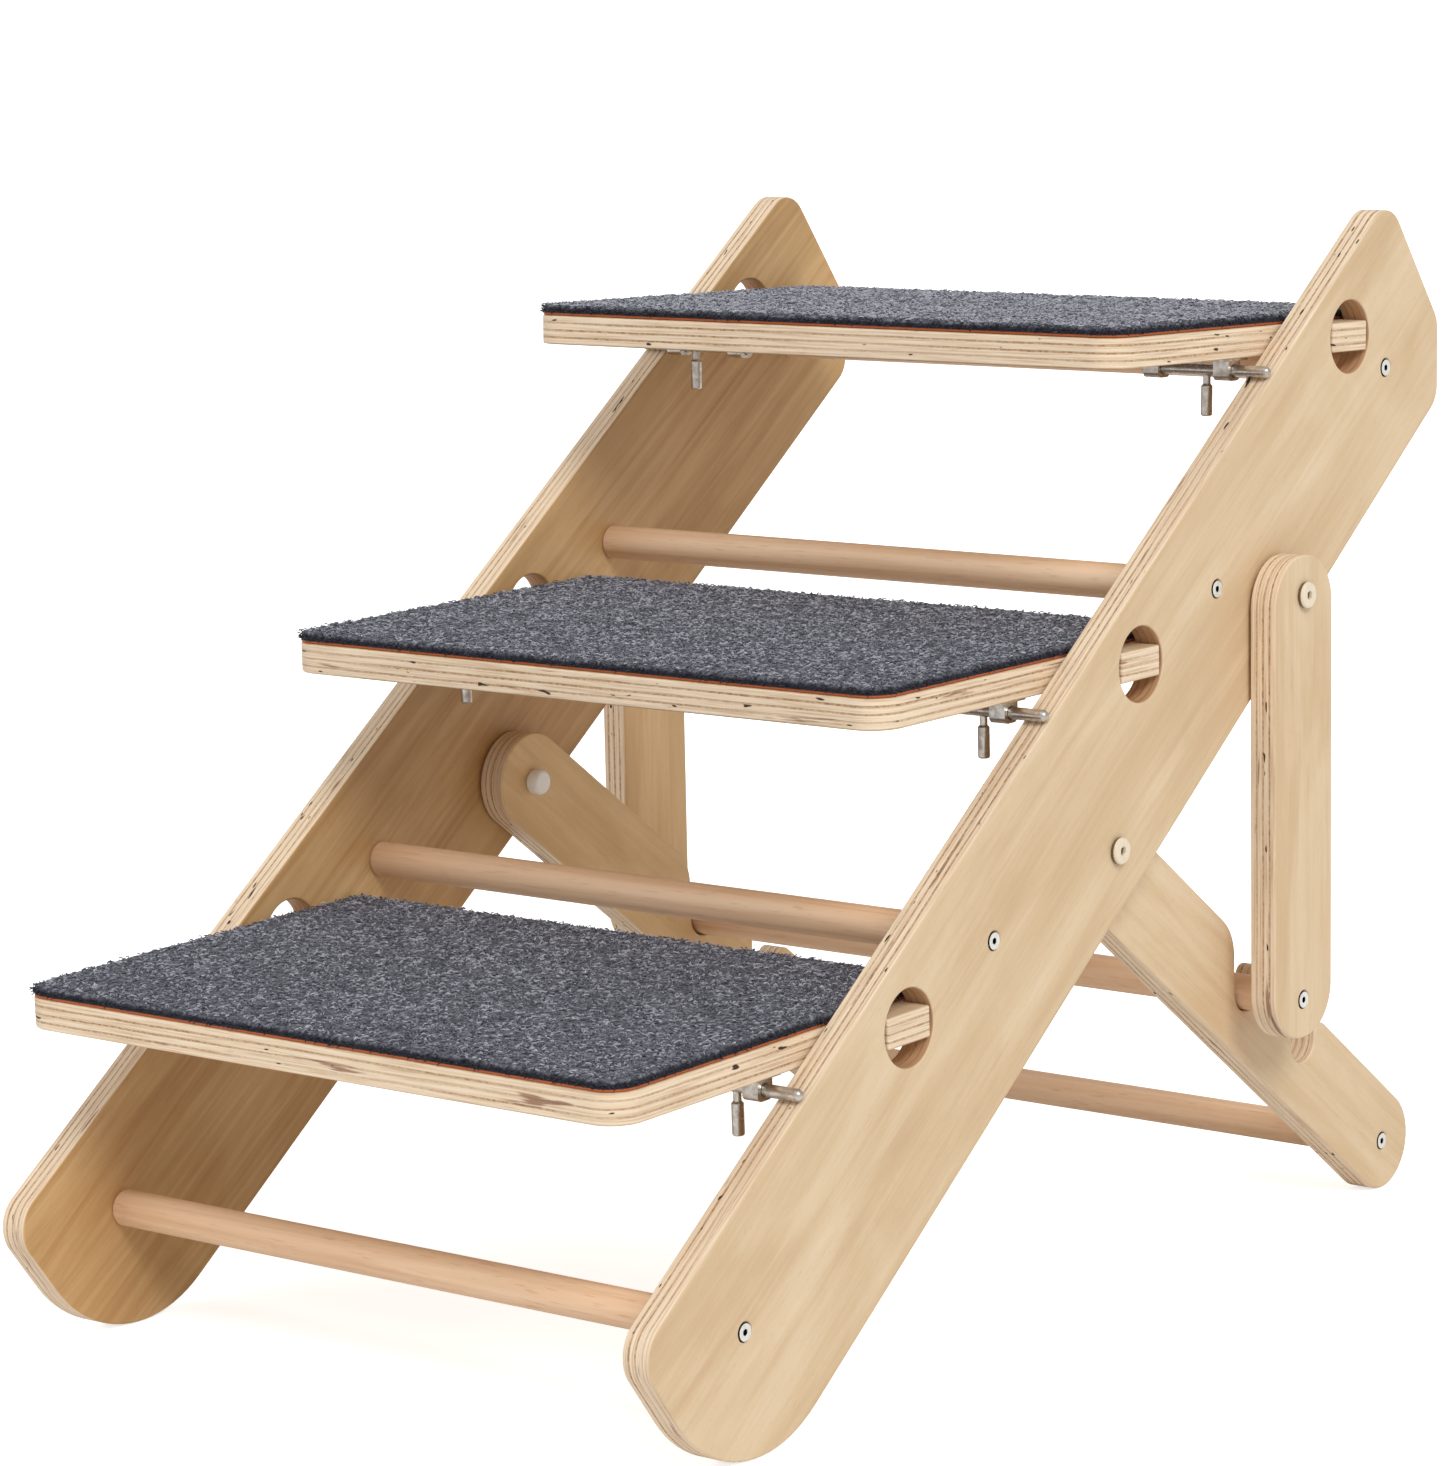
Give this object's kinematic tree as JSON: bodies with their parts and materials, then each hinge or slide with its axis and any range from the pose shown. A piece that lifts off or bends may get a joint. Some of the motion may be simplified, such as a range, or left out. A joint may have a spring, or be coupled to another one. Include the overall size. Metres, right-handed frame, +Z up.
{
  "type": "folding dog ramp",
  "caption": "Folding plywood steps for a dog: carpeted treads tilt between two slanted side boards, propped by a rear leg frame with notches and upright struts.",
  "frame": {"origin": "on the floor, under the middle of the whole object", "axes": "+Z up, +Y from the front of the steps to the rear, +X to the right of someone who climbs them"},
  "size_m": [0.4404, 0.6606, 0.5196],
  "materials": {
    "birch_plywood": "clear matt, sanded",
    "beech": "clear matt, turned",
    "carpet": "needle felt, speckled grey",
    "zinc_steel": "zinc plated",
    "cream_cap": "cream enamel"
  },
  "bodies": {
    "frame": {"left_stringer": "birch_plywood", "left_foot_dowel_screw": "zinc_steel", "left_lower_dowel_screw": "zinc_steel", "left_middle_dowel_screw": "zinc_steel", "left_top_dowel_screw": "zinc_steel", "left_leg_pivot_bolt": "cream_cap", "left_leg_pivot_cap_nut": "cream_cap", "left_leg_washer": "zinc_steel", "left_strut_pivot_bolt": "cream_cap", "left_strut_pivot_cap_nut": "cream_cap", "left_strut_washer": "zinc_steel", "right_stringer": "birch_plywood", "right_foot_dowel_screw": "zinc_steel", "right_lower_dowel_screw": "zinc_steel", "right_middle_dowel_screw": "zinc_steel", "right_top_dowel_screw": "zinc_steel", "right_leg_pivot_bolt": "cream_cap", "right_leg_pivot_cap_nut": "cream_cap", "right_leg_washer": "zinc_steel", "right_strut_pivot_bolt": "cream_cap", "right_strut_pivot_cap_nut": "cream_cap", "right_strut_washer": "zinc_steel", "foot_dowel": "beech", "lower_dowel": "beech", "middle_dowel": "beech", "top_dowel": "beech"},
    "rear_legs": {"left_rear_leg": "birch_plywood", "left_leg_dowel_screw": "zinc_steel", "right_rear_leg": "birch_plywood", "right_leg_dowel_screw": "zinc_steel", "leg_dowel": "beech"},
    "struts": {"left_strut": "birch_plywood", "left_locking_dowel_screw": "zinc_steel", "right_strut": "birch_plywood", "right_locking_dowel_screw": "zinc_steel", "locking_dowel": "beech"},
    "left_bolt_1": {"left_bolt_rod_1": "zinc_steel"},
    "right_bolt_1": {"right_bolt_rod_1": "zinc_steel"},
    "tread_1": {"tread_1": "birch_plywood", "carpet_1": "carpet", "left_bolt_guide_1": "zinc_steel", "right_bolt_guide_1": "zinc_steel"},
    "left_bolt_2": {"left_bolt_rod_2": "zinc_steel"},
    "right_bolt_2": {"right_bolt_rod_2": "zinc_steel"},
    "tread_2": {"tread_2": "birch_plywood", "carpet_2": "carpet", "left_bolt_guide_2": "zinc_steel", "right_bolt_guide_2": "zinc_steel"},
    "left_bolt_3": {"left_bolt_rod_3": "zinc_steel"},
    "right_bolt_3": {"right_bolt_rod_3": "zinc_steel"},
    "tread_3": {"tread_3": "birch_plywood", "carpet_3": "carpet", "left_bolt_guide_3": "zinc_steel", "right_bolt_guide_3": "zinc_steel"}
  },
  "joints": [
    {"name": "rear_legs_fold", "type": "hinge", "parent": "frame", "child": "rear_legs", "pos_m": [0, 0.03102, 0.22788], "axis": [-1, 0, 0], "range_deg": [0, 97]},
    {"name": "struts_fold", "type": "hinge", "parent": "frame", "child": "struts", "pos_m": [0, 0.17243, 0.33601], "axis": [-1, 0, 0], "range_deg": [0, 41.3]},
    {"name": "tread_1_tilt", "type": "hinge", "parent": "frame", "child": "tread_1", "pos_m": [0, -0.13882, 0.17291], "axis": [-1, 0, 0], "range_deg": [0, 80]},
    {"name": "left_bolt_1_slide", "type": "slide", "parent": "tread_1", "child": "left_bolt_1", "axis": [1, 0, 0], "range_m": [0, 0.018]},
    {"name": "right_bolt_1_slide", "type": "slide", "parent": "tread_1", "child": "right_bolt_1", "axis": [-1, 0, 0], "range_m": [0, 0.018]},
    {"name": "tread_2_tilt", "type": "hinge", "parent": "frame", "child": "tread_2", "pos_m": [0, 0.05218, 0.31541], "axis": [-1, 0, 0], "range_deg": [0, 80]},
    {"name": "left_bolt_2_slide", "type": "slide", "parent": "tread_2", "child": "left_bolt_2", "axis": [1, 0, 0], "range_m": [0, 0.018]},
    {"name": "right_bolt_2_slide", "type": "slide", "parent": "tread_2", "child": "right_bolt_2", "axis": [-1, 0, 0], "range_m": [0, 0.018]},
    {"name": "tread_3_tilt", "type": "hinge", "parent": "frame", "child": "tread_3", "pos_m": [0, 0.24318, 0.45791], "axis": [-1, 0, 0], "range_deg": [0, 1]},
    {"name": "left_bolt_3_slide", "type": "slide", "parent": "tread_3", "child": "left_bolt_3", "axis": [1, 0, 0], "range_m": [0, 0.018]},
    {"name": "right_bolt_3_slide", "type": "slide", "parent": "tread_3", "child": "right_bolt_3", "axis": [-1, 0, 0], "range_m": [0, 0.018]}
  ],
  "couplings": [
    {"joint": "struts_fold", "follows": "rear_legs_fold", "ratio": 0.425}
  ]
}
